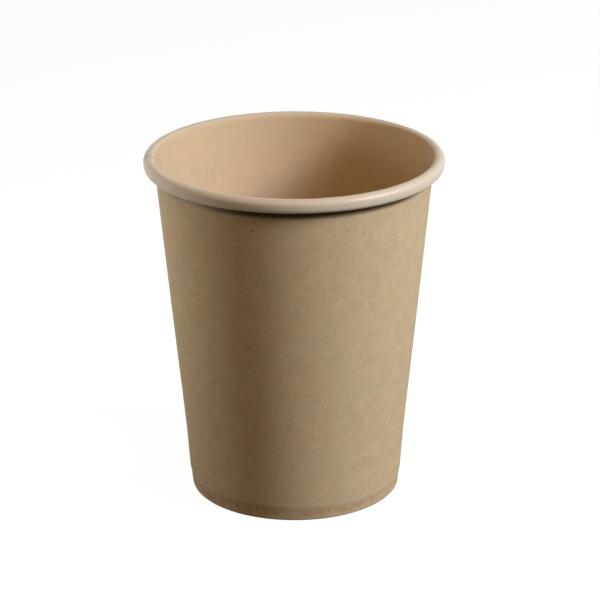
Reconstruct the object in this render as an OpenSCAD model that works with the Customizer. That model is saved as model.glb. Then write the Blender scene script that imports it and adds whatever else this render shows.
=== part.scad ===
// A single-wall paper cup for hot drinks, of brown plant-fibre paper.
// Two blanks make it. A fan-shaped one is wrapped into a cone, lapped and sealed down one side,
// rolled outwards at the rim and folded inwards at the foot. A round one, with its edge turned
// down, is held in that fold. All lengths are in millimetres, and angles in degrees.

/* [Cup] */
// Height from the table to the top of the rim
cup_h = 94; // [75:0.5:130]
// Outer diameter of the rolled rim, which is the size that a lid fits
rim_d = 80; // [72:0.5:96]
// Outer diameter of the wall at the table
base_d = 56.5; // [46:0.5:64]

/* [Paper] */
// Thickness of the paper that the wall is made of
wall_t = 0.35; // [0.25:0.01:0.45]
// Thickness of the paper that the bottom is made of
floor_t = 0.3; // [0.22:0.01:0.45]
// Thickness of the coating film between two sealed faces
film_t = 0.02; // [0.01:0.005:0.04]

/* [Rolled rim] */
// Outer radius of the roll
curl_r = 1.6; // [1.4:0.05:2.2]
// Straight stretch down the outer side of the roll
curl_drop = 0.8; // [0.2:0.1:1.6]
// Gap between the turns of the roll
curl_gap = 0.05; // [0.03:0.01:0.1]
// Angle that the paper's end turns inside the roll
curl_tail = 75; // [30:5:90]

/* [Side seam] */
// Width of the overlap
seam_w = 7; // [5:0.5:9]
// Width over which the outer ply climbs onto the inner one
seam_ramp = 1.4; // [1:0.1:2]
// Direction that the seam faces, anticlockwise from +X
seam_angle = 177; // [0:1:359]

/* [Bottom] */
// Depth of the recess under the bottom
recess_h = 6; // [5:0.5:12]
// Outer radius of the bend at the bottom's edge
floor_bend = 0.7; // [0.6:0.05:1.2]
// Gap between the top of the folded-up flap and the underside of the bottom
flap_gap = 1.2; // [0.8:0.1:2]
// Gap between the end of the bottom's skirt and the fold
skirt_gap = 0.3; // [0.1:0.05:1]
// How much of the fold is pressed flat against the table
fold_flat = 0.08; // [0.04:0.01:0.12]
// Number of grooves pressed round the inside of the flap
knurl_count = 90; // [48:1:110]
// Radius of the tool that presses a groove
knurl_r = 0.45; // [0.35:0.05:0.6]
// Depth of a groove
knurl_depth = 0.12; // [0.06:0.01:0.16]

/* [Hidden] */
$fn = 96;
rim_r = rim_d / 2;
base_r = base_d / 2;
kraft = [0.76, 0.67, 0.54];
kraft_light = [0.82, 0.73, 0.60];
// The middle of the roll, in the section through the cup's axis
curl_x = rim_r - curl_r;
curl_z = cup_h - curl_r;
// The wall's outer face runs from the foot to the inner side of the roll, which it touches
span = norm([curl_x - base_r, curl_z]);
lean = atan2(curl_x - base_r, curl_z) - asin((curl_r - wall_t) / span);
foot_y = -sqrt(span * span - (curl_r - wall_t) * (curl_r - wall_t));
// The lower half of the roll is tighter, so that the paper's end passes inside the wall
roll_r = curl_r - (wall_t + curl_gap) / 2;
tail_r = curl_r - wall_t - curl_gap;
// The fold at the foot goes round the bottom's skirt and the film on both its faces
fold_r = wall_t + film_t + floor_t / 2;
fold_x = wall_t - curl_r - fold_r;
fold_y = foot_y + (fold_r - fold_flat - fold_r * sin(lean)) / cos(lean);
flap_top = foot_y + (recess_h - flap_gap) / cos(lean);
// The flap's face towards the recess, and how far in the overlap's cut has to reach past it
flap_x = fold_x - fold_r;
lap_in = 2 * flap_x;
// The bend at the bottom's edge, placed so that the skirt lies against the wall
bend_z = recess_h + floor_t - floor_bend;
bend_x = rounded(base_r + bend_z * tan(lean) - (wall_t + film_t + floor_bend) / cos(lean));
skirt_len = (bend_z - fold_r - skirt_gap) / cos(lean);
// The grooves start above the fold and stop short of the flap's edge
knurl_margin = 0.7;
knurl_x = flap_x - knurl_r + knurl_depth;
knurl_len = flap_top - fold_y - 2 * knurl_margin;
// The groove at the inner ply's edge starts above the bottom and ends below the roll
groove_margin = 1;
groove_y = foot_y + recess_h + floor_t + groove_margin;
groove_len = -curl_r - groove_margin - groove_y;
// Larger than any section that it cuts
reach = cup_h + rim_d;

// A length to a thousandth, so that neighbouring shapes share their edges exactly
function rounded(x) = round(x * 1000) / 1000;

// Puts a shape drawn in the wall's own frame in its place: x across the paper, outwards, y up
// along the wall, and the origin at the middle of the roll
module along_wall() {
    translate([curl_x, curl_z]) rotate(-lean) children();
}

// The same frame for solids, at the side that the seam faces: z runs up along the wall
module along_seam() {
    rotate([0, 0, seam_angle]) translate([curl_x, 0, curl_z]) rotate([0, lean, 0]) children();
}

module ring(inner, outer) {
    difference() {
        circle(outer);
        circle(inner);
    }
}

module upper_half_ring(inner, outer) {
    intersection() {
        ring(inner, outer);
        translate([-reach, 0]) square([2 * reach, reach]);
    }
}

module lower_half_ring(inner, outer) {
    mirror([0, 1]) upper_half_ring(inner, outer);
}

module strip(x0, x1, y0, y1) {
    polygon([[x0, y0], [x1, y0], [x1, y1], [x0, y1]]);
}

// The section of a layer of the wall and its roll, from a depth a to a depth b below the paper's
// inner face, drawn in the wall's frame
module wall_layer(a, b) {
    strip(a - curl_r, b - curl_r, fold_y, 0);
    upper_half_ring(curl_r - b, curl_r - a);
    strip(curl_r - b, curl_r - a, -curl_drop, 0);
    translate([curl_r - roll_r, -curl_drop]) lower_half_ring(roll_r - b, roll_r - a);
}

// The paper's end, turned up inside the roll
module curl_end() {
    strip(-tail_r, wall_t - tail_r, -curl_drop, 0);
    intersection() {
        ring(tail_r - wall_t, tail_r);
        polygon([[0, 0], [-reach, 0], [-reach, reach],
                 [-reach * cos(curl_tail), reach * sin(curl_tail)]]);
    }
}

// The fold at the foot, and the flap that stands up inside the skirt
module hem_layer() {
    translate([fold_x, fold_y]) lower_half_ring(fold_r - wall_t, fold_r);
    strip(flap_x, flap_x + wall_t, fold_y, flap_top);
}

// Everything below the table
module below_table() {
    translate([0, -reach]) square([reach, reach]);
}

module paper_section() {
    difference() {
        along_wall() {
            wall_layer(0, wall_t);
            curl_end();
            hem_layer();
        }
        below_table();
    }
}

// The outer ply of the overlap, from the middle of the inner ply outwards. It goes round the fold
// with the rest, and comes up on the flap's open face.
module lap_section() {
    difference() {
        along_wall() {
            wall_layer(wall_t / 2, 2 * wall_t);
            translate([fold_x, fold_y]) lower_half_ring(fold_r - wall_t / 2, fold_r + wall_t);
            strip(flap_x - wall_t, flap_x + wall_t / 2, fold_y, flap_top);
        }
        below_table();
    }
}

// How far the wall's foot curves away from its tangent plane at a distance y from the seam's middle
function fall(y) = y * y / base_d;

// The overlap's plan: one side is cut square, and on the other the outer ply climbs
module lap_plan() {
    outer = wall_t - curl_r;
    half = seam_w / 2;
    foot = half + seam_ramp;
    polygon([[lap_in, -half], [reach, -half], [reach, half], [outer + wall_t - fall(half), half],
             [outer - fall(foot), foot], [flap_x - fall(foot), foot],
             [flap_x - wall_t - fall(half), half], [lap_in, half]]);
}

module lap() {
    intersection() {
        rotate_extrude() lap_section();
        along_seam() translate([0, 0, -reach]) linear_extrude(2 * reach) lap_plan();
    }
}

// The fine groove inside the cup, where the inner ply ends and the outer one comes down
module lap_groove() {
    inner = -curl_r;
    half = seam_w / 2;
    along_seam() translate([0, 0, groove_y]) linear_extrude(groove_len)
        polygon([[inner - wall_t - fall(half), half], [inner + wall_t / 2 - fall(half), half],
                 [inner - fall(half + seam_ramp), half + seam_ramp],
                 [inner - wall_t - fall(half), half + seam_ramp]]);
}

// How much thicker the flap is at a turn away from the seam's middle
function extra_ply(turn) =
    min(turn, 360 - turn) * PI / 180 * base_r < seam_w / 2 + knurl_r ? wall_t : 0;

module knurl() {
    for (k = [0 : knurl_count - 1]) {
        turn = k * 360 / knurl_count;
        rotate([0, 0, turn]) along_seam()
            translate([knurl_x - extra_ply(turn), 0, fold_y + knurl_margin])
                cylinder(h = knurl_len, r = knurl_r);
    }
}

module sidewall() {
    color(kraft) difference() {
        union() {
            rotate_extrude() paper_section();
            lap();
        }
        lap_groove();
        knurl();
    }
}

module bottom_section() {
    strip(0, bend_x, recess_h, recess_h + floor_t);
    translate([bend_x, bend_z]) {
        intersection() {
            ring(floor_bend - floor_t, floor_bend);
            rotate(-lean) translate([-reach, 0]) square([2 * reach, reach]);
            translate([0, -reach]) square([reach, 2 * reach]);
        }
        rotate(-lean) strip(floor_bend - floor_t, floor_bend, -skirt_len, 0);
    }
}

module bottom_disc() {
    color(kraft_light) rotate_extrude() bottom_section();
}

sidewall();
bottom_disc();
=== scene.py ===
import math

import bmesh
import bpy
from bpy.props import FloatProperty, FloatVectorProperty, IntProperty, PointerProperty
from mathutils import Matrix, Vector, noise


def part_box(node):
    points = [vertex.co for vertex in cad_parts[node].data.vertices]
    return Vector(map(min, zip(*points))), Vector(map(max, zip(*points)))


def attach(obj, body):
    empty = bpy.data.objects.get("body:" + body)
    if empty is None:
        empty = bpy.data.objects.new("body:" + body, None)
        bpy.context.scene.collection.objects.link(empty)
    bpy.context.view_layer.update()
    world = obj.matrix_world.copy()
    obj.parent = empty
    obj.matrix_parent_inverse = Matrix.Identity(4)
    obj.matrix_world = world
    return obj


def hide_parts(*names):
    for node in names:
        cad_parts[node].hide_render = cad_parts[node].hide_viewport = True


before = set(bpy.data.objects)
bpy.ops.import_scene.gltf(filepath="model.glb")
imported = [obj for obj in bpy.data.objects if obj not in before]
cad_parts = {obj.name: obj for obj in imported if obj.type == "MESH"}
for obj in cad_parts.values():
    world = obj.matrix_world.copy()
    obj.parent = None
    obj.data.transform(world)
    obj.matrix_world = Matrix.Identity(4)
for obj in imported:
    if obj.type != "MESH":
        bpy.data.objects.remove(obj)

bl_info = {
    "name": "Paper Cup",
    "version": (1, 0, 0),
    "blender": (4, 5, 0),
    "location": "3D View > Sidebar > Paper Cup",
    "description": "Makes a single-wall cup of brown plant-fibre paper from its two blanks",
    "category": "Add Mesh",
}

MM = 0.001
# Points that are closer together than this are merged
SAME_POINT = 1e-7
WALL_LOW, WALL_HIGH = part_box("sidewall")
# The side where the grooves show most, and the one where the painted shade in the crease under
# the roll is darkest, in degrees anticlockwise from +X
HARD_SIDE = -97
CREASE_SHADE_SIDE = -76
# The one dark bit in the raw paper that the photograph shows, on the outside below the rim
KNOT = (-10.66 * MM, -34.75 * MM, 84.12 * MM)


def length(name, description, default):
    """A size that a user would change, in metres."""
    return FloatProperty(
        name=name, description=description, default=default, min=0, unit="LENGTH", precision=5
    )


def angle(name, description, degrees):
    default = math.radians(degrees)
    return FloatProperty(name=name, description=description, default=default, subtype="ANGLE")


def colour(name, description, *levels):
    """A colour as it is seen on a screen, from levels of 0 to 255."""
    default = [level / 255 for level in levels]
    return FloatVectorProperty(
        name=name, description=description, default=default, min=0, max=1, subtype="COLOR_GAMMA"
    )


class CupSizes(bpy.types.PropertyGroup):
    """The driving sizes of the cup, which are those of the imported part."""

    cup_h: length("Height", "From the table to the top of the rim", WALL_HIGH.z)
    rim_d: length("Rim diameter", "Over the outside of the rolled rim", WALL_HIGH.x - WALL_LOW.x)
    base_d: length("Foot diameter", "Over the outside of the wall at the table", 56.5 * MM)
    wall_t: length("Wall paper", "Thickness of the paper that the wall is made of", 0.35 * MM)
    floor_t: length("Bottom paper", "Thickness of the paper that the bottom is made of", 0.3 * MM)
    film_t: length("Film", "Thickness of the coating film between two sealed faces", 0.02 * MM)
    curl_r: length("Roll radius", "Outer radius of the rolled rim", 1.6 * MM)
    curl_drop: length("Roll drop", "Straight stretch down the outer side of the roll", 0.8 * MM)
    curl_gap: length("Roll gap", "Gap between the turns of the roll", 0.05 * MM)
    curl_tail: angle("Roll tail", "How far the paper's end turns inside the roll", 75)
    seam_w: length("Overlap", "Width of the overlap at the side seam", 7 * MM)
    seam_ramp: length("Overlap ramp", "Width over which the outer ply climbs onto the inner one", 1.4 * MM)
    seam_press: FloatProperty(
        name="Overlap pressing",
        description="Share of each ply's thickness that is pressed away in the overlap",
        default=0.36, min=0, max=0.5,
    )
    edge_slant: length("Edge slant", "How far the outer ply's cut edge leans back, pressed down", 0.22 * MM)
    seam_angle: angle("Seam direction", "Direction that the seam faces, anticlockwise from +X", 177)
    recess_h: length("Recess", "Depth of the recess under the bottom", 6 * MM)
    floor_bend: length("Bottom bend", "Outer radius of the bend at the bottom's edge", 0.7 * MM)
    flap_gap: length("Flap gap", "From the flap's top to the underside of the bottom", 1.2 * MM)
    skirt_gap: length("Skirt gap", "From the end of the bottom's skirt to the fold", 0.3 * MM)
    fold_flat: length("Fold flat", "How much of the fold is pressed flat against the table", 0.08 * MM)
    knurl_count: IntProperty(
        name="Grooves", description="Number of grooves pressed round the flap", default=90, min=12
    )
    knurl_r: length("Groove tool", "Radius of the tool that presses a groove", 0.45 * MM)
    knurl_depth: length("Groove depth", "Depth of a groove in the flap", 0.12 * MM)
    knurl_margin: length("Groove margin", "From a groove's end to the fold or the flap's edge", 0.7 * MM)
    print_through: length("Print-through", "Depth at which the grooves show on the outside", 0.015 * MM)
    foot_bulge: length("Foot bulge", "How far the bottom's edge and the flap push the wall out", 0.16 * MM)
    sway: length("Sway", "How far the wall strays from a true cone", 0.12 * MM)


class CupColours(bpy.types.PropertyGroup):
    """The colours of the paper."""

    raw: colour("Raw paper", "The outside of the cup, which has no coating", 199, 177, 142)
    coated: colour("Coated paper", "The inside of the cup and the top of the bottom", 206, 183, 150)
    # Paler than the coated paper: a painted highlight on the roll, with some whitening of the stretched
    # coating
    rim: colour("Rolled rim", "The coated paper where it is stretched over the roll", 208, 194, 174)
    cut: colour("Cut edge", "The paper's own colour, where it is cut through", 206, 184, 150)
    fibre: colour("Dark fibre", "The darkest fibres in the sheet", 120, 88, 54)
    # Also the colour of the painted highlight on the ridge over the flap's edge
    straw_and_highlight: colour("Straw fibre", "The palest fibres in the sheet", 226, 206, 172)
    # Also the colour of the painted shade in the crease under the roll
    speck_and_shade: colour("Speck", "Bits of bark and knot in the pulp", 74, 50, 30)
    hem: colour("Hem", "The raw paper where the folded foot was pressed and warmed", 160, 116, 78)


class CupStage(bpy.types.PropertyGroup):
    """Where the camera stands and what it aims at, fitted to the photograph."""

    distance: length("Camera distance", "From the camera to the middle of the cup", 734.8 * MM)
    elevation: angle("Camera elevation", "Above the horizon", 21.039)
    roll: angle("Camera roll", "Turn about the line of sight", -0.199)
    aim_right: length("Aim right", "How far right of the cup's axis the camera aims", 1.423 * MM)
    aim_up: length("Aim up", "How far above the cup's middle the camera aims", 5.024 * MM)
    lens: FloatProperty(name="Lens", description="Focal length in millimetres", default=162.7, min=1)


class CupForm:
    """The cup's section, worked out from its driving sizes. The wall's own frame has x across the
    paper, outwards, y up along the wall, and its origin at the middle of the roll."""

    def __init__(self, s):
        self.curl_x = s.rim_d / 2 - s.curl_r
        self.curl_z = s.cup_h - s.curl_r
        reach = Vector((self.curl_x - s.base_d / 2, self.curl_z))
        touch = s.curl_r - s.wall_t
        self.lean = math.atan2(reach.x, reach.y) - math.asin(touch / reach.length)
        self.foot_y = -math.sqrt(reach.length_squared - touch * touch)
        # The lower half of the roll is tighter, so that the paper's end passes inside the wall
        self.roll_r = s.curl_r - (s.wall_t + s.curl_gap) / 2
        # The fold goes round the bottom's skirt and the film on both its faces
        self.fold_r = s.wall_t + s.film_t + s.floor_t / 2
        self.fold_x = s.wall_t - s.curl_r - self.fold_r
        sin, cos = math.sin(self.lean), math.cos(self.lean)
        self.fold_y = self.foot_y + (self.fold_r * (1 - sin) - s.fold_flat) / cos
        self.flap_x = self.fold_x - self.fold_r
        self.flap_top = self.foot_y + (s.recess_h - s.flap_gap) / cos
        # The bend at the bottom's edge is placed so that the skirt lies against the wall
        self.bend_z = s.recess_h + s.floor_t - s.floor_bend
        side = s.wall_t + s.film_t + s.floor_bend
        self.bend_x = s.base_d / 2 + self.bend_z * math.tan(self.lean) - side / cos
        self.skirt = (self.bend_z - self.fold_r - s.skirt_gap) / cos
        self.middle_r = (s.rim_d + s.base_d) / 4 - s.curl_r / 2

    def along_wall(self, x, y):
        """A vector in the wall's frame, turned to the upright section at +X."""
        sin, cos = math.sin(self.lean), math.cos(self.lean)
        return Vector((x * cos + y * sin, 0, y * cos - x * sin))

    def on_wall(self, x, y):
        """A point in the wall's frame, put in its place."""
        return Vector((self.curl_x, 0, self.curl_z)) + self.along_wall(x, y)


class PaperSection:
    """A sheet's section, drawn by carrying a short edge that lies across the paper along its path.
    Every point keeps which face it is on, how far along the sheet it is, and the way out through
    the paper from the coated face to the raw one."""

    COATED, RAW, CUT = 0, 1, 2

    def __init__(self, bm, coated, raw, start=0.0):
        self.bm = bm
        self.side = bm.verts.layers.int.new("side")
        self.along = bm.verts.layers.float.new("along")
        self.out = bm.verts.layers.float_vector.new("out")
        self.rung = [bm.verts.new(coated), bm.verts.new(raw)]
        self.rung[self.RAW][self.side] = self.RAW
        self.edge = bm.edges.new(self.rung)
        self.length = start
        self.mark()

    def mark(self):
        """Writes on the newest edge's points how far along the sheet they are, and the way out."""
        coated, raw = self.rung
        for vert in self.rung:
            vert[self.along] = self.length
            vert[self.out] = (raw.co - coated.co).normalized()

    def take(self, made):
        """Makes the newest edge across the paper the one that is carried on."""
        before = (self.rung[0].co + self.rung[1].co) / 2
        verts = [v for v in made if isinstance(v, bmesh.types.BMVert)]
        self.rung = sorted(verts, key=lambda v: v[self.side])
        self.edge = self.bm.edges.get(self.rung)
        self.length += ((self.rung[0].co + self.rung[1].co) / 2 - before).length
        self.mark()

    def straight(self, way, steps):
        """Carries the edge straight on, in equal steps."""
        for _ in range(steps):
            made = bmesh.ops.extrude_edge_only(self.bm, edges=[self.edge])["geom"]
            verts = [v for v in made if isinstance(v, bmesh.types.BMVert)]
            bmesh.ops.translate(self.bm, verts=verts, vec=way / steps)
            self.take(verts)

    def bend(self, centre, turn, steps):
        """Carries the edge round a centre. A positive turn is anticlockwise with +X to the right."""
        for _ in range(steps):
            made = bmesh.ops.spin(
                self.bm, geom=[*self.rung, self.edge], cent=centre, axis=(0, -1, 0),
                angle=turn / steps, steps=1,
            )
            self.take(made["geom_last"])

    def material_of(self, face):
        """Which material a face of the mesh has: that of its side of the paper, or the cut edge's
        where it joins both sides."""
        sides = {v[self.side] for v in face.verts}
        return sides.pop() if len(sides) == 1 else self.CUT


def ring_noise(here, detail, seed):
    """Noise that runs round the cup and meets itself, finer where the detail is larger."""
    return noise.noise(Vector((detail * math.cos(here), detail * math.sin(here), seed)))


def smooth(value, low, high):
    """0 below low, 1 above high and a soft rise between them."""
    t = min(max((value - low) / (high - low), 0), 1)
    return t * t * (3 - 2 * t)


def smoothed(name, bm, sharp_from=math.radians(35)):
    """Makes the mesh's object, smooth all over but for its sharp edges."""
    for face in bm.faces:
        face.smooth = True
    for edge in bm.edges:
        edge.smooth = not edge.is_manifold or edge.calc_face_angle() < sharp_from
    mesh = bpy.data.meshes.new(name)
    bm.to_mesh(mesh)
    bm.free()
    piece = bpy.data.objects.new(name, mesh)
    bpy.context.scene.collection.objects.link(piece)
    return piece


class SidewallShape:
    """Wraps the sidewall's section into the cup, and presses the seam and the grooves into it."""

    COLUMNS_PER_GROOVE = 6
    # The foot of the wall, where points lie closer together for the grooves' marks and the swell
    FINE_FOOT = 5 * MM
    # Share of each ply that is pressed away in the roll, where both plies make about one thickness
    ROLL_PRESS = 0.48
    # Shares of the inner ply: what its edge loses inside the cup, how deep its edge is sunk into the
    # outer ply in the roll, and what is taken off its raw face there
    EDGE_PRESS, EDGE_SINK, EDGE_TAPER = 0.6, 0.12, 0.75
    # The plies' ends are turned over this many widths of the overlap
    EASE = 8

    def __init__(self, sizes, form):
        self.sizes, self.form = sizes, form
        self.bm = bmesh.new()
        self.turn = self.bm.verts.layers.float.new("turn")
        # Along the sheet: the flap, the way round the fold, and the grooves with their sloped ends
        self.flap = form.flap_top - form.fold_y
        self.fold = math.pi * (form.fold_r - sizes.wall_t / 2)
        self.band = (sizes.knurl_margin, self.flap - sizes.knurl_margin)
        self.shoulder = 2 * sizes.knurl_depth
        # Round the cup: from groove to groove, one column of faces, the overlap and its ramp
        self.pitch = math.tau / sizes.knurl_count
        self.column = self.pitch / self.COLUMNS_PER_GROOVE
        half_lap = round(sizes.seam_w / 2 / form.middle_r / self.column)
        self.lap_columns = 2 * half_lap
        self.ramp_columns = max(2, round(sizes.seam_ramp / form.middle_r / self.column))
        self.lap = self.lap_columns * self.column
        self.ramp = self.ramp_columns * self.column
        self.start = sizes.seam_angle - half_lap * self.column

    def draw_section(self):
        """Draws the section from the flap's top, down round the fold, up the wall and into the roll."""
        s, f = self.sizes, self.form
        coated, raw = f.on_wall(f.flap_x + s.wall_t, f.flap_top), f.on_wall(f.flap_x, f.flap_top)
        sheet = PaperSection(self.bm, coated, raw, start=-self.flap - self.fold)
        grooved = self.flap - 2 * s.knurl_margin - 2 * self.shoulder
        for height, steps in (
            (s.knurl_margin, 1), (self.shoulder, 1), (grooved, 2), (self.shoulder, 1), (s.knurl_margin, 1)
        ):
            sheet.straight(f.along_wall(0, -height), steps)
        sheet.bend(f.on_wall(f.fold_x, f.fold_y), math.pi, 12)
        sheet.straight(f.along_wall(0, self.FINE_FOOT), 9)
        sheet.straight(f.along_wall(0, -f.fold_y - self.FINE_FOOT), 9)
        sheet.bend(f.on_wall(0, 0), -math.pi, 18)
        sheet.straight(f.along_wall(0, -s.curl_drop), 1)
        sheet.bend(f.on_wall(s.curl_r - f.roll_r, -s.curl_drop), -math.pi, 12)
        sheet.straight(f.along_wall(0, s.curl_drop), 1)
        sheet.bend(f.on_wall(0, 0), -s.curl_tail, 5)
        return sheet

    def carry(self, geom, columns):
        """Spins geometry round the axis by a number of columns, and gives back where it ends."""
        return bmesh.ops.spin(
            self.bm, geom=geom, cent=(0, 0, 0), axis=(0, 0, 1), angle=columns * self.column, steps=columns
        )["geom_last"]

    def wrap(self):
        """Carries the section past a whole turn by the width of the overlap. The points up to the
        foot of the ramp are the outer ply's, and are given back."""
        section = [*self.bm.verts, *self.bm.edges, *self.bm.faces]
        to_start = Matrix.Rotation(self.start, 3, "Z")
        bmesh.ops.rotate(self.bm, verts=self.bm.verts[:], cent=(0, 0, 0), matrix=to_start)
        over = self.lap_columns + self.ramp_columns
        whole = round(math.tau / self.column) + self.lap_columns
        last = self.carry(section, over)
        outer_ply = set(self.bm.verts)
        self.carry(last, whole - over)
        return outer_ply

    def turned(self, here, in_outer_ply):
        """How far round the sheet a point is, from the outer ply's edge on to the inner ply's."""
        at = (here - self.start) % math.tau
        if at > math.tau - self.column / 2:
            at = 0
        if not in_outer_ply and at < self.lap + self.ramp - self.column / 2:
            at += math.tau
        return at

    def shape(self, sheet, outer_ply):
        """Moves each point to where the overlap, the grooves and the paper's own sway put it."""
        for v in self.bm.verts:
            here = math.atan2(v.co.y, v.co.x)
            at = self.turned(here, v in outer_ply)
            v[self.turn] = at
            raw = v[sheet.side] == sheet.RAW
            out = Matrix.Rotation(here, 3, "Z") @ v[sheet.out]
            push = self.press(raw, at, v.co.z)
            if raw:
                push -= self.groove(here, -v[sheet.along] - self.fold)
                push -= self.print_through(here, v.co.z) if v[sheet.along] > 0 else 0
            v.co += out * push
            v.co += self.sway(here, v.co.z)
            v.co.z = max(v.co.z, 0)
            radius = v.co.xy.length
            turn = self.straighten(at, radius)
            if at == 0 and raw:
                turn += self.sizes.edge_slant / radius
            v.co.rotate(Matrix.Rotation(turn, 3, "Z"))

    def press(self, raw, at, z):
        """How far a point goes out through the paper, so that the outer ply lies on the inner one and
        both are thinner where they overlap. The inner ply's edge is pressed thinner still, so that
        little of a step is left inside the cup. In the roll it is sunk into the outer ply, and nothing
        is left to see."""
        s = self.sizes
        roll = smooth(z, s.cup_h - 5 * s.curl_r, s.cup_h - 3 * s.curl_r)
        thin = s.wall_t * (s.seam_press + (self.ROLL_PRESS - s.seam_press) * roll)
        ply = s.wall_t - thin
        outer = 1 - smooth(at, self.lap - roll * self.ramp, self.lap + (1 - roll) * self.ramp)
        end = math.tau + self.lap
        if raw:
            inner = smooth(at, math.tau - self.ramp, math.tau)
            taper = smooth(at, end - self.ramp, end)
            return (ply - thin) * outer - thin * inner - self.EDGE_TAPER * ply * roll * taper
        edge = smooth(at, end - 2 * self.column, end)
        return ply * (outer + edge * (self.EDGE_PRESS + (self.EDGE_SINK - self.EDGE_PRESS) * roll))

    def groove(self, here, height):
        """Depth of the pressed grooves at a height on the flap, and 0 above and below them."""
        s = self.sizes
        ends = smooth(min(height - self.band[0], self.band[1] - height), 0, self.shoulder)
        across = (here - s.seam_angle + self.pitch / 2) % self.pitch - self.pitch / 2
        y = across * (s.base_d / 2 - s.wall_t - self.form.fold_r)
        bottom = s.knurl_r - s.knurl_depth
        return max(math.sqrt(max(s.knurl_r**2 - y * y, 0)) - bottom, 0) * ends

    def print_through(self, here, z):
        """Depth at which the grooves show on the outside of the foot. The marks start at one height,
        and some are longer and deeper than others."""
        number = (here - self.sizes.seam_angle) / self.pitch
        nearest = round(number)
        uneven = noise.noise(Vector((nearest * 0.83, 4.7, 0))) * 0.5 + 0.5
        low, high = 1.3 * MM, (2.1 + 1.2 * uneven) * MM
        ends = smooth(z, low, low + 0.4 * MM) * (1 - smooth(z, high, high + 0.5 * MM))
        across = 1 - smooth(abs(number - nearest), 0.08, 0.3)
        return self.sizes.print_through * ends * across * smooth(uneven, 0.3, 0.7)

    def foot_form(self, z):
        """How far the wall stands out over the bottom's edge and the flap, and falls back in above."""
        deep = self.sizes.recess_h
        swell = smooth(z, 3 * MM, 4.6 * MM) * (1 - smooth(z, deep, 2 * deep))
        hollow = smooth(z, 1.5 * deep, 3 * deep) * (1 - smooth(z, 3 * deep, 6 * deep))
        return self.sizes.foot_bulge * (swell - 0.6 * hollow)

    def sway(self, here, z):
        """The paper's own unevenness. The wall's fades out towards the stiff foot, and the roll's top
        has a slow dip and a fine ripple. Apart from the foot's swell, all go inwards or down."""
        s = self.sizes
        free = smooth(z, s.recess_h + 2 * MM, 0.4 * s.cup_h)
        oval = (math.cos(2 * here + 0.7) - 1) / 2
        wave = ring_noise(here, 2.2, z / (22 * MM)) - 0.6
        out = s.sway * free * (0.4 * oval + 0.35 * wave) + self.foot_form(z)
        dip = ring_noise(here, 1.6, 9.1) - 0.6
        ripple = ring_noise(here, 20, 2.5) - 0.8
        down = s.sway * (0.35 * dip + 0.28 * ripple) * smooth(z, 0.94 * s.cup_h, 0.98 * s.cup_h)
        return Vector((out * math.cos(here), out * math.sin(here), down))

    def straighten(self, at, radius):
        """Turns the plies' ends so that the overlap keeps one width all the way up the cone."""
        wanted = math.asin(min(self.sizes.seam_w / 2 / radius, 1)) - self.lap / 2
        ease = self.EASE * self.lap
        before = 1 - smooth(at, self.lap, ease)
        after = smooth(at, math.tau + self.lap - ease, math.tau)
        return wanted * (after - before)

    def lay_out(self, sheet):
        """Gives the sheet its own flat coordinates, in metres on the fan-shaped blank."""
        blank = self.bm.loops.layers.uv.new("blank")
        sin = math.sin(self.form.lean)
        apex = (self.sizes.base_d - self.sizes.wall_t) / 2 / sin
        for face in self.bm.faces:
            face.material_index = sheet.material_of(face)
            for corner in face.loops:
                far = apex + corner.vert[sheet.along]
                fan = (corner.vert[self.turn] - math.pi) * sin
                corner[blank].uv = (far * math.sin(fan), far * math.cos(fan))

    def make(self):
        sheet = self.draw_section()
        outer_ply = self.wrap()
        self.shape(sheet, outer_ply)
        bmesh.ops.recalc_face_normals(self.bm, faces=self.bm.faces[:])
        self.lay_out(sheet)
        return self.bm


def bottom_mesh(s, f):
    """The round blank with its edge turned down, spun from its section."""
    columns = 240
    ripple_depth, ripple_length = 0.05 * MM, 14 * MM
    bm = bmesh.new()
    top = s.recess_h + s.floor_t
    sheet = PaperSection(bm, Vector((0, 0, top)), Vector((0, 0, s.recess_h)))
    axle = sheet.edge
    sheet.straight(Vector((f.bend_x, 0, 0)), 8)
    sheet.bend(Vector((f.bend_x, 0, f.bend_z)), -math.pi / 2 - f.lean, 8)
    sheet.straight(f.along_wall(0, -f.skirt), 3)
    outline = [e for e in bm.edges if e.is_boundary and e != axle]
    across = [e for e in bm.edges if not e.is_boundary] + [axle]
    bmesh.ops.delete(bm, geom=bm.faces[:], context="FACES_ONLY")
    bmesh.ops.delete(bm, geom=across, context="EDGES")
    bmesh.ops.spin(
        bm, geom=outline + bm.verts[:], cent=(0, 0, 0), axis=(0, 0, 1), angle=math.tau,
        steps=columns, use_merge=True,
    )
    bmesh.ops.remove_doubles(bm, verts=bm.verts[:], dist=SAME_POINT)
    bmesh.ops.recalc_face_normals(bm, faces=bm.faces[:])
    for v in bm.verts:
        r = v.co.xy.length
        ripple = noise.noise(Vector((v.co.x, v.co.y, 0)) / ripple_length)
        v.co.z += ripple_depth * ripple * (1 - smooth(r, 0.7 * f.bend_x, f.bend_x))
    blank = bm.loops.layers.uv.new("blank")
    for face in bm.faces:
        face.material_index = sheet.material_of(face)
        for corner in face.loops:
            corner[blank].uv = corner.vert.co.xy.normalized() * corner.vert[sheet.along]
    return bm


def linear(levels):
    """A screen colour as the light that a shader works with."""
    return [c / 12.92 if c <= 0.04045 else ((c + 0.055) / 1.055) ** 2.4 for c in levels] + [1]


def put(tree, kind, inputs=None, **settings):
    """Adds a node. An input is a number or colour, or another node's output, which is joined to it."""
    node = tree.nodes.new(kind)
    for name, value in settings.items():
        setattr(node, name, value)
    for name, value in (inputs or {}).items():
        if isinstance(value, bpy.types.NodeSocket):
            tree.links.new(value, node.inputs[name])
        else:
            node.inputs[name].default_value = value
    return node


def maths(tree, operation, *values):
    return put(tree, "ShaderNodeMath", dict(enumerate(values)), operation=operation).outputs[0]


def times(tree, product, *others):
    """All the values multiplied together."""
    for value in others:
        product = maths(tree, "MULTIPLY", product, value)
    return product


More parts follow.
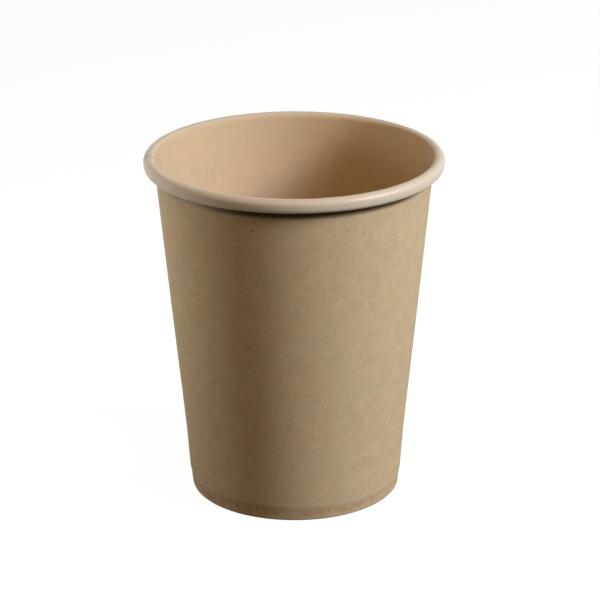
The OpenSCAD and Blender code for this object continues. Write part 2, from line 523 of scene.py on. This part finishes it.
def vector_maths(tree, operation, *values):
    return put(tree, "ShaderNodeVectorMath", dict(enumerate(values)), operation=operation).outputs[0]


def in_mm(tree, vector):
    return vector_maths(tree, "MULTIPLY", vector, (1 / MM, 1 / MM, 1 / MM))


def parts(tree, vector):
    """A vector's X, Y and Z."""
    return put(tree, "ShaderNodeSeparateXYZ", {"Vector": vector}).outputs


def rise(tree, value, low, high, start=0.0, end=1.0):
    """A soft change from start to end as a value goes from low to high."""
    inputs = {"Value": value, "From Min": low, "From Max": high, "To Min": start, "To Max": end}
    return put(tree, "ShaderNodeMapRange", inputs, interpolation_type="SMOOTHSTEP").outputs[0]


def fall(tree, value, low, high):
    """A soft change from 1 to 0 as a value goes from low to high."""
    return rise(tree, value, low, high, 1.0, 0.0)


def blotches(tree, vector, scale, detail, roughness=0.5):
    """Soft random blotches, smaller where the scale is larger."""
    inputs = {"Vector": vector, "Scale": scale, "Detail": detail, "Roughness": roughness}
    return put(tree, "ShaderNodeTexNoise", inputs).outputs


def cells(tree, vector, scale):
    """Random cells in a plane, and the red, green and blue of each one's random colour."""
    inputs = {"Vector": vector, "Scale": scale}
    cell = put(tree, "ShaderNodeTexVoronoi", inputs, voronoi_dimensions="2D").outputs
    return cell, put(tree, "ShaderNodeSeparateColor", {"Color": cell["Color"]}).outputs


def mix(tree, factor, a, b, blend_type="MIX"):
    """A mix of two colours. The node has sockets of the same names for other kinds of data, so the
    colours' own are taken by number."""
    node = put(tree, "ShaderNodeMix", {0: factor, 6: a, 7: b}, data_type="RGBA", blend_type=blend_type)
    return node.outputs[2]


def stain(tree, tone, mask, amount, colour):
    """Puts a screen colour over the tone where a mask shows, as strongly as the amount says."""
    return mix(tree, maths(tree, "MULTIPLY", mask, amount), tone, linear(colour))


def new_group(name, inputs, outputs):
    """A node group with nothing in it yet, and the sockets that it is given and gives back."""
    tree = bpy.data.node_groups.new(name, "ShaderNodeTree")
    for label, kind, default in inputs:
        socket = tree.interface.new_socket(label, in_out="INPUT", socket_type=kind)
        if default is not None:
            socket.default_value = default
    for label in outputs:
        tree.interface.new_socket(label, in_out="OUTPUT", socket_type="NodeSocketFloat")
    return tree, tree.nodes.new("NodeGroupInput").outputs, tree.nodes.new("NodeGroupOutput").inputs


def fibre_group():
    """Short fibres, some of them curled, that lie in all directions in the sheet, one to a cell.
    Lengths are in millimetres."""
    tree, given, result = new_group(
        "Loose fibres",
        [
            ("Vector", "NodeSocketVector", None),
            ("Length", "NodeSocketFloat", 2.0),
            ("Width", "NodeSocketFloat", 0.1),
        ],
        ["Fibres"],
    )
    bend = 2.2
    curl = blotches(tree, given["Vector"], 0.5, 1.0)["Color"]
    bent = vector_maths(tree, "SUBTRACT", curl, (0.5, 0.5, 0.5))
    bent = vector_maths(tree, "MULTIPLY", bent, (bend, bend, 0))
    bent = vector_maths(tree, "ADD", given["Vector"], bent)
    per_mm = maths(tree, "DIVIDE", 1.0, given["Length"])
    reach = maths(tree, "MULTIPLY", given["Length"], 0.5)
    half = maths(tree, "MULTIPLY", reach, 0.5)
    thin = maths(tree, "MULTIPLY", given["Width"], 0.3)
    total = None
    for shift in (0.0, 37.3, 81.9):
        moved = vector_maths(tree, "ADD", bent, (shift, -shift, 0))
        cell, chance = cells(tree, moved, per_mm)
        inside = vector_maths(tree, "SUBTRACT", moved, cell["Position"])
        turned = {"Vector": inside, "Angle": maths(tree, "MULTIPLY", chance["Red"], math.pi)}
        lying = put(tree, "ShaderNodeVectorRotate", turned, rotation_type="Z_AXIS").outputs["Vector"]
        local = parts(tree, lying)
        line = fall(tree, maths(tree, "ABSOLUTE", local["Y"]), thin, given["Width"])
        ends = fall(tree, maths(tree, "ABSOLUTE", local["X"]), half, reach)
        one = times(tree, line, ends, chance["Green"])
        total = one if total is None else maths(tree, "MAXIMUM", total, one)
    tree.links.new(total, result["Fibres"])
    return tree


def sheet_group(fibres):
    """What shows in a sheet of unbleached plant pulp: clouds, grain, pale and dark fibres, specks.
    Lengths are in millimetres."""
    tree, given, result = new_group(
        "Pulp sheet",
        [("Vector", "NodeSocketVector", None)],
        ["Clouds", "Hue", "Grain", "Dark fibres", "Pale fibres", "Specks"],
    )
    flat = in_mm(tree, given["Vector"])
    aside = vector_maths(tree, "ADD", flat, (211, 97, 0))
    for label, place, scale, detail, roughness in (
        ("Clouds", flat, 0.25, 4.0, 0.65), ("Hue", aside, 0.13, 2.0, 0.5), ("Grain", flat, 1.6, 2.0, 0.6)
    ):
        tree.links.new(blotches(tree, place, scale, detail, roughness)["Fac"], result[label])
    for label, shift, span, width in (("Dark fibres", 11.0, 2.4, 0.2), ("Pale fibres", 53.0, 2.0, 0.24)):
        moved = vector_maths(tree, "ADD", flat, (shift, shift, 0))
        inputs = {"Vector": moved, "Length": span, "Width": width}
        laid = put(tree, "ShaderNodeGroup", inputs, node_tree=fibres).outputs["Fibres"]
        patches = rise(tree, blotches(tree, moved, 0.2, 1.0)["Fac"], 0.35, 0.65, 0.25, 1.0)
        tree.links.new(maths(tree, "MULTIPLY", laid, patches), result[label])
    per_mm = 0.1
    spots, chance = cells(tree, flat, per_mm)
    size = rise(tree, chance["Green"], 0.2, 1.0, 0.06, 0.2)
    away = maths(tree, "DIVIDE", spots["Distance"], per_mm)
    spot = fall(tree, maths(tree, "SUBTRACT", away, size), -0.08, 0.08)
    chosen = maths(tree, "GREATER_THAN", chance["Red"], 0.9)
    tree.links.new(maths(tree, "MULTIPLY", spot, chosen), result["Specks"])
    return tree


def hem_group(count):
    """Where the folded foot shows on the outside: a pressed band with the grooves' marks in it, and
    a painted highlight on the faint ridge above it, over the flap's edge. Also how dark the painted
    shade in the crease under the roll is on each side of the cup. Heights are in millimetres."""
    tree, given, result = new_group(
        "Hem", [("Vector", "NodeSocketVector", None)], ["Band", "Marks", "Ridge highlight", "Crease shade"]
    )
    place = in_mm(tree, given["Vector"])
    at = parts(tree, place)
    around = maths(tree, "ARCTAN2", at["Y"], at["X"])
    to_crease_shade = maths(tree, "COSINE", maths(tree, "SUBTRACT", around, math.radians(CREASE_SHADE_SIDE)))
    to_hard = maths(tree, "COSINE", maths(tree, "SUBTRACT", around, math.radians(HARD_SIDE)))
    uneven = blotches(tree, place, 0.35, 2.0)["Fac"]
    height = maths(tree, "MULTIPLY_ADD", uneven, 1.2, at["Z"])
    height = maths(tree, "SUBTRACT", height, 0.6)
    band = times(
        tree, rise(tree, height, 0.6, 1.7), fall(tree, height, 2.7, 4.0),
        rise(tree, uneven, 0.38, 0.62, 0.3, 1.0), rise(tree, to_hard, 0.3, 0.95, 0.45, 1.0),
    )
    # Painted highlight on the faint ridge over the flap's edge
    ridge = times(tree, rise(tree, at["Z"], 3.5, 4.1), fall(tree, height, 4.3, 5.3))
    number = maths(tree, "MULTIPLY", around, count / math.tau)
    aside = maths(tree, "MULTIPLY", maths(tree, "SUBTRACT", uneven, 0.5), 2.6)
    number = maths(tree, "ADD", number, aside)
    whole = maths(tree, "ROUND", number)
    off = maths(tree, "ABSOLUTE", maths(tree, "SUBTRACT", number, whole))
    chance = put(tree, "ShaderNodeTexWhiteNoise", {"W": whole}, noise_dimensions="1D").outputs["Value"]
    over = maths(tree, "SUBTRACT", at["Z"], maths(tree, "MULTIPLY_ADD", chance, 1.5, 2.1))
    marks = times(
        tree, fall(tree, off, 0.02, 0.14), fall(tree, over, -0.5, 0.4), rise(tree, at["Z"], 1.2, 1.8),
        rise(tree, chance, 0.2, 0.8), rise(tree, to_hard, 0.2, 0.95, 0.25, 1.0),
    )
    tree.links.new(band, result["Band"])
    tree.links.new(marks, result["Marks"])
    tree.links.new(ridge, result["Ridge highlight"])
    tree.links.new(rise(tree, to_crease_shade, 0.5, 0.9, 0.25, 1.0), result["Crease shade"])
    return tree


def rim_group(sizes):
    """The rolled part of the coated face, stretched by the rolling die and painted paler: a highlight."""
    tree, given, result = new_group("Rolled rim", [("Vector", "NodeSocketVector", None)], ["Rolled"])
    at = parts(tree, given["Vector"])
    flat = put(tree, "ShaderNodeCombineXYZ", {"X": at["X"], "Y": at["Y"]}).outputs[0]
    radius = put(tree, "ShaderNodeVectorMath", {0: flat}, operation="LENGTH").outputs["Value"]
    middle = sizes.rim_d / 2 - sizes.curl_r
    rolled = rise(tree, radius, middle - 0.85 * sizes.curl_r, middle - 0.6 * sizes.curl_r)
    tree.links.new(rolled, result["Rolled"])
    return tree


def empty_tree(owner):
    """The nodes of a new material or world, with those that it starts with taken away."""
    owner.use_nodes = True
    owner.node_tree.nodes.clear()
    return owner.node_tree


def pulp_colour(tree, masks, colours, base, cloud, grain, fibre):
    """The sheet's colour, with its clouds, fibres and specks in it. The last three numbers say how
    strongly the clouds, the grain and the fibres show."""
    warm, cool = (1.02, 0.995, 0.965, 1), (0.985, 1.005, 1.03, 1)
    base = linear(base)[:3]
    dark = [c * (1 - cloud) for c in base] + [1]
    pale = [min(c * (1 + cloud), 1) for c in base] + [1]
    tone = mix(tree, rise(tree, masks["Clouds"], 0.3, 0.7), dark, pale)
    shade = mix(tree, rise(tree, masks["Hue"], 0.3, 0.7), warm, cool)
    tone = mix(tree, 1.0, tone, shade, "MULTIPLY")
    tone = mix(tree, 1.0, tone, rise(tree, masks["Grain"], 0.25, 0.75, 1 - grain, 1 + grain), "MULTIPLY")
    tone = stain(tree, tone, masks["Dark fibres"], fibre, colours.fibre)
    tone = stain(tree, tone, masks["Pale fibres"], 1.6 * fibre, colours.straw_and_highlight)
    return stain(tree, tone, masks["Specks"], 0.75, colours.speck_and_shade)


def masks_of(tree, sheet):
    """The pulp's masks, laid on the blank's own flat coordinates."""
    blank = put(tree, "ShaderNodeUVMap", uv_map="blank").outputs[0]
    return put(tree, "ShaderNodeGroup", {"Vector": blank}, node_tree=sheet).outputs


def relief(tree, masks, strength):
    """The pulp's fine relief, as a normal."""
    height = maths(tree, "ADD", maths(tree, "MULTIPLY", masks["Grain"], 0.6), masks["Pale fibres"])
    height = maths(tree, "SUBTRACT", height, maths(tree, "MULTIPLY", masks["Dark fibres"], 0.5))
    bump = put(tree, "ShaderNodeBump", {"Height": height, "Strength": strength, "Distance": 0.04 * MM})
    return bump.outputs[0]


def paper_surface(tree, tone, roughness, specular, normal):
    """The last nodes of a paper's material."""
    inputs = {"Base Color": tone, "Roughness": roughness, "Specular IOR Level": specular, "Normal": normal}
    shader = put(tree, "ShaderNodeBsdfPrincipled", inputs)
    put(tree, "ShaderNodeOutputMaterial", {"Surface": shader.outputs[0]})


def raw_paper(colours, sheet, hem, sizes):
    """The uncoated outside: matt and fibrous, pressed at the hem, and dark in the crease under the
    roll. The crease's darkness is partly paint, since the light alone leaves it too pale."""
    tree = empty_tree(bpy.data.materials.new("raw paper"))
    masks = masks_of(tree, sheet)
    tone = pulp_colour(tree, masks, colours, colours.raw, cloud=0.045, grain=0.012, fibre=0.22)
    at = put(tree, "ShaderNodeTexCoord").outputs["Object"]
    foot = put(tree, "ShaderNodeGroup", {"Vector": at}, node_tree=hem).outputs
    tone = stain(tree, tone, foot["Band"], 0.42, colours.hem)
    tone = stain(tree, tone, foot["Marks"], 0.42, colours.fibre)
    # Painted highlight on the ridge over the flap's edge
    tone = stain(tree, tone, foot["Ridge highlight"], 0.3, colours.straw_and_highlight)
    under = sizes.cup_h - 2 * sizes.curl_r - sizes.curl_drop
    # Painted shade in the crease under the roll, stronger on one side of the cup
    crease = rise(tree, parts(tree, at)["Z"], under - 2.6 * MM, under - 1.1 * MM, 0.0, 0.92)
    tone = stain(tree, tone, crease, foot["Crease shade"], colours.speck_and_shade)
    away = put(tree, "ShaderNodeVectorMath", {0: at, 1: KNOT}, operation="DISTANCE").outputs["Value"]
    tone = stain(tree, tone, fall(tree, away, 0.16 * MM, 0.34 * MM), 0.95, colours.speck_and_shade)
    roughness = rise(tree, masks["Grain"], 0.3, 0.7, 0.86, 0.96)
    paper_surface(tree, tone, roughness, 0.1, relief(tree, masks, 0.2))


def coated_paper(colours, sheet, rim):
    """The inside and the rim, under a thin satin coating that shines more on the roll."""
    tree = empty_tree(bpy.data.materials.new("coated paper"))
    masks = masks_of(tree, sheet)
    tone = pulp_colour(tree, masks, colours, colours.coated, cloud=0.025, grain=0.006, fibre=0.07)
    at = put(tree, "ShaderNodeTexCoord").outputs["Object"]
    rolled = put(tree, "ShaderNodeGroup", {"Vector": at}, node_tree=rim).outputs["Rolled"]
    # Painted highlight: the roll is paler than the rest of the coated face
    tone = stain(tree, tone, rolled, 0.9, colours.rim)
    uneven = rise(tree, masks["Clouds"], 0.3, 0.7, 0.04, 0.14)
    roughness = maths(tree, "ADD", rise(tree, rolled, 0, 1, 0.55, 0.3), uneven)
    specular = rise(tree, rolled, 0, 1, 0.05, 0.35)
    paper_surface(tree, tone, roughness, specular, relief(tree, masks, 0.08))


def cut_paper(colours, sheet):
    """The paper cut through: all loose fibre ends."""
    tree = empty_tree(bpy.data.materials.new("cut paper"))
    masks = masks_of(tree, sheet)
    tone = pulp_colour(tree, masks, colours, colours.cut, cloud=0.05, grain=0.06, fibre=0.3)
    roughness = rise(tree, masks["Grain"], 0.3, 0.7, 0.9, 1.0)
    paper_surface(tree, tone, roughness, 0.2, relief(tree, masks, 0.5))


def give_paper(piece, context):
    """Gives a piece the coated, the raw and the cut paper, in the order of PaperSection's numbers.
    They are made on first use."""
    names = ("coated paper", "raw paper", "cut paper")
    if not all(name in bpy.data.materials for name in names):
        colours, sizes = context.scene.cup_colours, context.scene.cup_sizes
        sheet = sheet_group(fibre_group())
        coated_paper(colours, sheet, rim_group(sizes))
        raw_paper(colours, sheet, hem_group(sizes.knurl_count), sizes)
        cut_paper(colours, sheet)
    for name in names:
        piece.data.materials.append(bpy.data.materials[name])


class CUP_OT_sidewall(bpy.types.Operator):
    """Wrap, lap, roll and fold the fan-shaped blank into the cup's wall"""

    bl_idname = "cup.sidewall"
    bl_label = "Sidewall"

    def execute(self, context):
        sizes = context.scene.cup_sizes
        piece = smoothed("wrapped_sidewall", SidewallShape(sizes, CupForm(sizes)).make())
        give_paper(piece, context)
        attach(piece, "root")
        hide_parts("sidewall")
        return {"FINISHED"}


class CUP_OT_bottom(bpy.types.Operator):
    """Turn down the round blank's edge and set it in the foot"""

    bl_idname = "cup.bottom"
    bl_label = "Bottom"

    def execute(self, context):
        sizes = context.scene.cup_sizes
        piece = smoothed("pressed_bottom", bottom_mesh(sizes, CupForm(sizes)))
        give_paper(piece, context)
        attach(piece, "root")
        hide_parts("bottom_disc")
        return {"FINISHED"}


def background_ray(tree):
    """1 for the rays that should meet a white background: from the camera, or off or through a
    surface. 0 for the rays that carry the studio's light."""
    seen = put(tree, "ShaderNodeLightPath").outputs
    reflected = maths(tree, "MAXIMUM", seen["Is Glossy Ray"], seen["Is Transmission Ray"])
    return maths(tree, "MAXIMUM", seen["Is Camera Ray"], reflected)


def lit_and_seen(tree, lit, seen):
    """One shader for the rays that carry the studio's light, and another for those that look at the
    background."""
    return put(tree, "ShaderNodeMixShader", {0: background_ray(tree), 1: lit, 2: seen}).outputs[0]


def floor_material():
    """White to the camera, with a very faint shadow of the cup kept. To the light it is dark, so that
    little of it comes back up onto the cup."""
    material = bpy.data.materials.new("studio floor")
    tree = empty_tree(material)
    plain = put(tree, "ShaderNodeBsdfDiffuse", {"Color": (0.07, 0.07, 0.07, 1)})
    shaded = put(tree, "ShaderNodeBsdfDiffuse", {"Color": (0.22, 0.22, 0.22, 1)})
    white = put(tree, "ShaderNodeEmission", {"Color": (1, 1, 1, 1), "Strength": 0.9})
    both = put(tree, "ShaderNodeAddShader", {0: shaded.outputs[0], 1: white.outputs[0]})
    chosen = lit_and_seen(tree, plain.outputs[0], both.outputs[0])
    put(tree, "ShaderNodeOutputMaterial", {"Surface": chosen})
    return material


def studio_world(scene):
    """Plain white to the camera, and a soft even light on the cup."""
    scene.world = bpy.data.worlds.new("studio")
    tree = empty_tree(scene.world)
    soft = put(tree, "ShaderNodeBackground", {"Color": (1.0, 0.82, 0.38, 1), "Strength": 0.165})
    white = put(tree, "ShaderNodeBackground", {"Color": (1, 1, 1, 1), "Strength": 1.0})
    chosen = lit_and_seen(tree, soft.outputs[0], white.outputs[0])
    put(tree, "ShaderNodeOutputWorld", {"Surface": chosen})


def softbox(name, target, azimuth, elevation, distance, size, power, tint):
    """A square lamp that faces the target. The azimuth is anticlockwise from +X, in degrees."""
    a, e = math.radians(azimuth), math.radians(elevation)
    back = Vector((math.cos(a) * math.cos(e), math.sin(a) * math.cos(e), math.sin(e)))
    lamp = bpy.data.lights.new(name, "AREA")
    lamp.size = size
    lamp.energy = power
    lamp.color = tint
    holder = bpy.data.objects.new(name, lamp)
    holder.location = target + back * distance
    holder.rotation_mode = "QUATERNION"
    holder.rotation_quaternion = back.to_track_quat("Z", "Y")
    bpy.context.scene.collection.objects.link(holder)
    return holder


class CUP_OT_stage(bpy.types.Operator):
    """Set up the camera, the floor and the studio's soft lamps"""

    bl_idname = "cup.stage"
    bl_label = "Stage"

    def execute(self, context):
        sizes, stage = context.scene.cup_sizes, context.scene.cup_stage
        middle = Vector((0, 0, sizes.cup_h / 2))
        self.camera(context.scene, stage, middle)
        floor_reach = 4
        bm = bmesh.new()
        bmesh.ops.create_grid(bm, x_segments=1, y_segments=1, size=floor_reach)
        floor = smoothed("floor", bm)
        floor.data.materials.append(floor_material())
        studio_world(context.scene)
        softbox(
            "key", middle, azimuth=-25, elevation=31, distance=0.8, size=0.26, power=6.35,
            tint=(0.99, 1.0, 1.07),
        )
        left = softbox(
            "left", middle, azimuth=176, elevation=19, distance=0.16, size=0.05, power=0.095,
            tint=(0.93, 0.96, 1.0),
        )
        left.visible_glossy = False
        softbox(
            "fill", middle, azimuth=-115, elevation=45, distance=0.6, size=0.3, power=0.35,
            tint=(1.0, 0.45, 0.2),
        )
        return {"FINISHED"}

    def camera(self, scene, stage, middle):
        sin, cos = math.sin(stage.elevation), math.cos(stage.elevation)
        eye = middle + Vector((0, -cos, sin)) * stage.distance
        aim = middle + Vector((1, 0, 0)) * stage.aim_right + Vector((0, sin, cos)) * stage.aim_up
        data = bpy.data.cameras.new("camera")
        data.sensor_width = 36
        data.lens = stage.lens
        camera = bpy.data.objects.new("camera", data)
        camera.location = eye
        camera.rotation_mode = "QUATERNION"
        straight = (aim - eye).to_track_quat("-Z", "Y")
        camera.rotation_quaternion = straight @ Matrix.Rotation(stage.roll, 3, "Z").to_quaternion()
        scene.collection.objects.link(camera)
        scene.camera = camera


class CUP_PT_panel(bpy.types.Panel):
    """The cup's operators and sizes, in the 3D view's sidebar"""

    bl_idname = "CUP_PT_panel"
    bl_label = "Paper Cup"
    bl_space_type = "VIEW_3D"
    bl_region_type = "UI"
    bl_category = "Paper Cup"

    def draw(self, context):
        for operator in OPERATORS:
            self.layout.operator(operator.bl_idname)
        for group in (context.scene.cup_sizes, context.scene.cup_colours, context.scene.cup_stage):
            box = self.layout.box()
            for name in group.__annotations__:
                box.prop(group, name)


OPERATORS = (CUP_OT_sidewall, CUP_OT_bottom, CUP_OT_stage)
CLASSES = (CupSizes, CupColours, CupStage, *OPERATORS, CUP_PT_panel)


def register():
    for item in CLASSES:
        bpy.utils.register_class(item)
    bpy.types.Scene.cup_sizes = PointerProperty(type=CupSizes)
    bpy.types.Scene.cup_colours = PointerProperty(type=CupColours)
    bpy.types.Scene.cup_stage = PointerProperty(type=CupStage)


def unregister():
    del bpy.types.Scene.cup_sizes
    del bpy.types.Scene.cup_colours
    del bpy.types.Scene.cup_stage
    for item in reversed(CLASSES):
        bpy.utils.unregister_class(item)


def main():
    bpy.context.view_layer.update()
    register()
    bpy.ops.cup.sidewall()
    bpy.ops.cup.bottom()
    bpy.ops.cup.stage()
    bpy.context.scene.view_settings.view_transform = "Standard"


if __name__ == "__main__":
    main()
